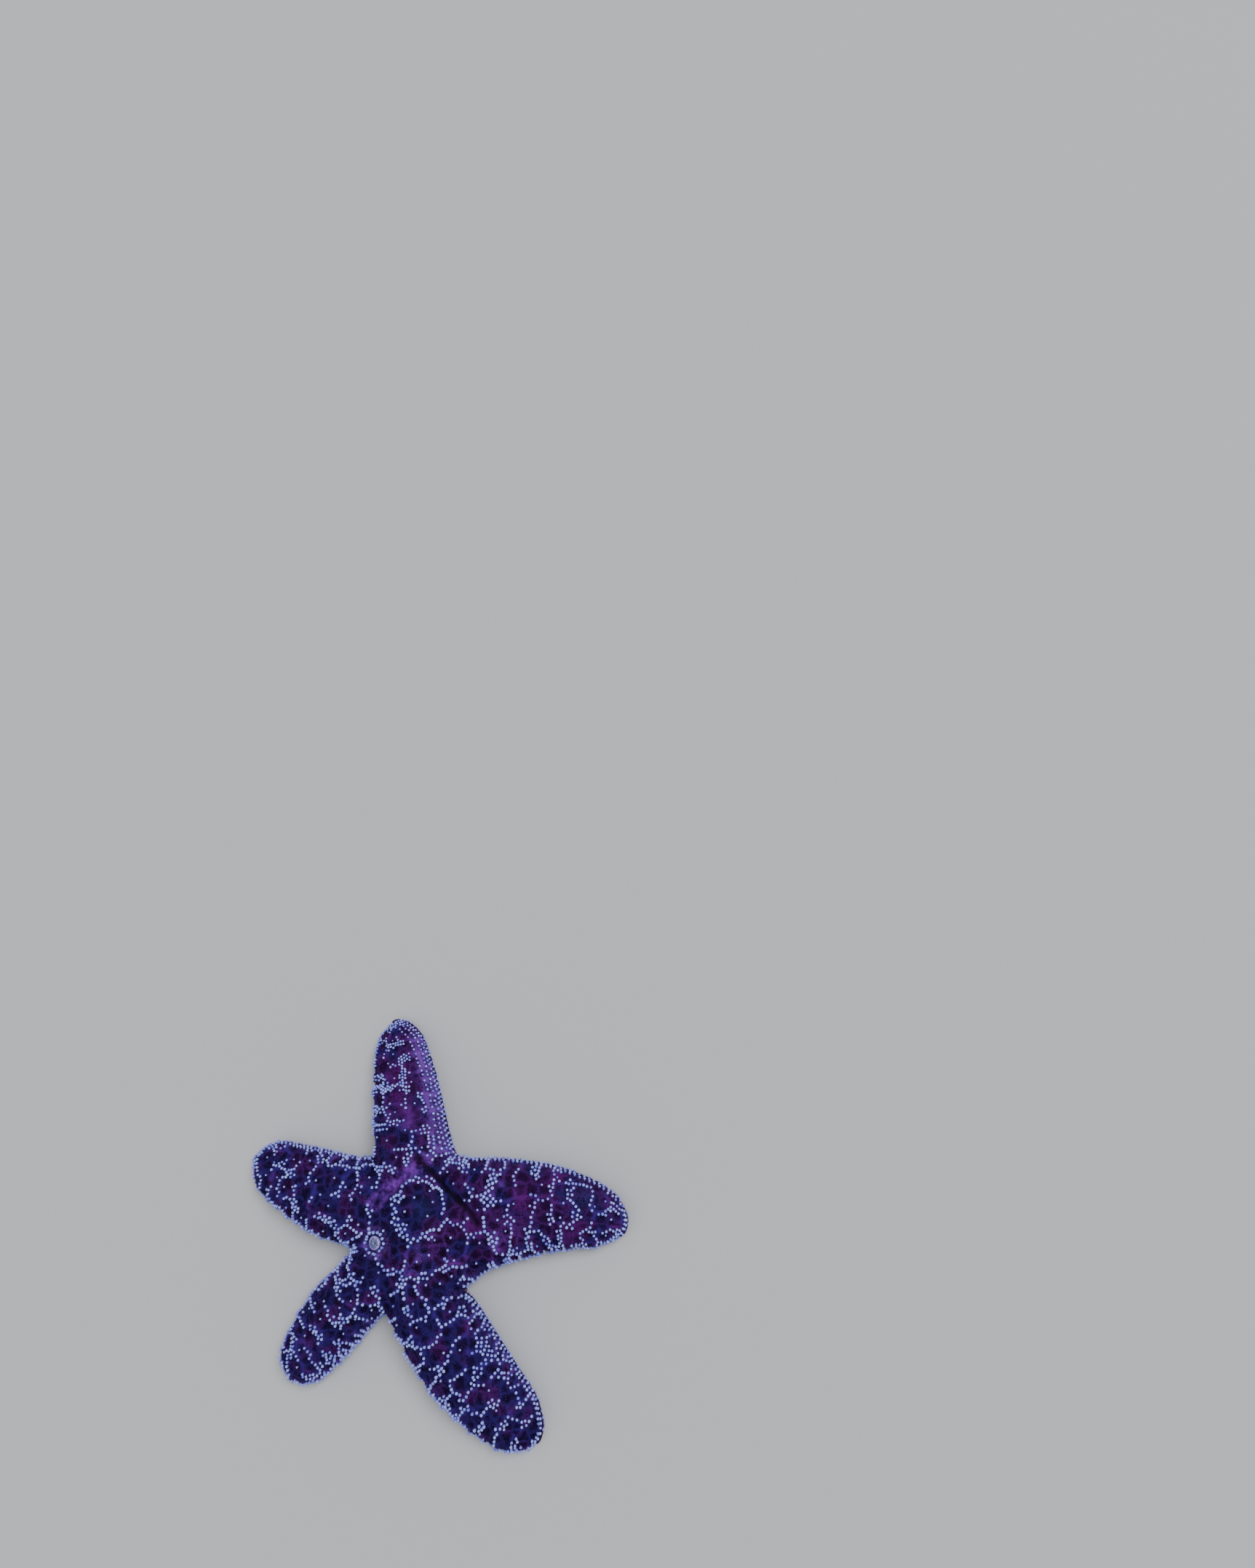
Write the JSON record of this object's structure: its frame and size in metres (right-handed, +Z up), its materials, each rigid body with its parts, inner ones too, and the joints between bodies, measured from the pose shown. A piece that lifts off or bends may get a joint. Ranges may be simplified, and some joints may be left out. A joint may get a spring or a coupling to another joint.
{
  "type": "purple sea star",
  "caption": "Life-size purple or ochre sea star at rest: stout arms round a domed disc, white blunt spines in a net over plum-purple skin, grooves with tube feet underneath.",
  "frame": {"origin": "on the floor plane, under the middle of the body's outline, which is also under the middle of the disc", "axes": "+Z up, out of the animal's back; +Y roughly along arm_1, the arm that points away from the viewer; +X roughly along arm_5, to its right"},
  "size_m": [0.2384, 0.2326, 0.031],
  "materials": {
    "skin": "wet living skin, plum purple with near-black pits, magenta patches and lavender walls, satin with a wet sheen",
    "spines": "blunt calcite spines, off-white to pale lavender, purple at the foot, slightly wet",
    "sieve_plate": "calcite plate with fine winding grooves, blue-grey to lavender, satin",
    "mouth_skin": "soft pale skin with radial folds, moist",
    "tube_feet": "soft translucent cream to pale amber feet with suckers, moist and glossy",
    "eyespot": "small red pigment spot, glossy"
  },
  "bodies": {
    "root": {"disc": "skin", "arm_1": "skin", "arm_2": "skin", "arm_3": "skin", "arm_4": "skin", "arm_5": "skin", "madreporite": "sieve_plate", "mouth": "mouth_skin", "tube_feet_1": "tube_feet", "tube_feet_2": "tube_feet", "tube_feet_3": "tube_feet", "tube_feet_4": "tube_feet", "tube_feet_5": "tube_feet", "eyespot_1": "eyespot", "eyespot_2": "eyespot", "eyespot_3": "eyespot", "eyespot_4": "eyespot", "eyespot_5": "eyespot"}
  },
  "joints": []
}
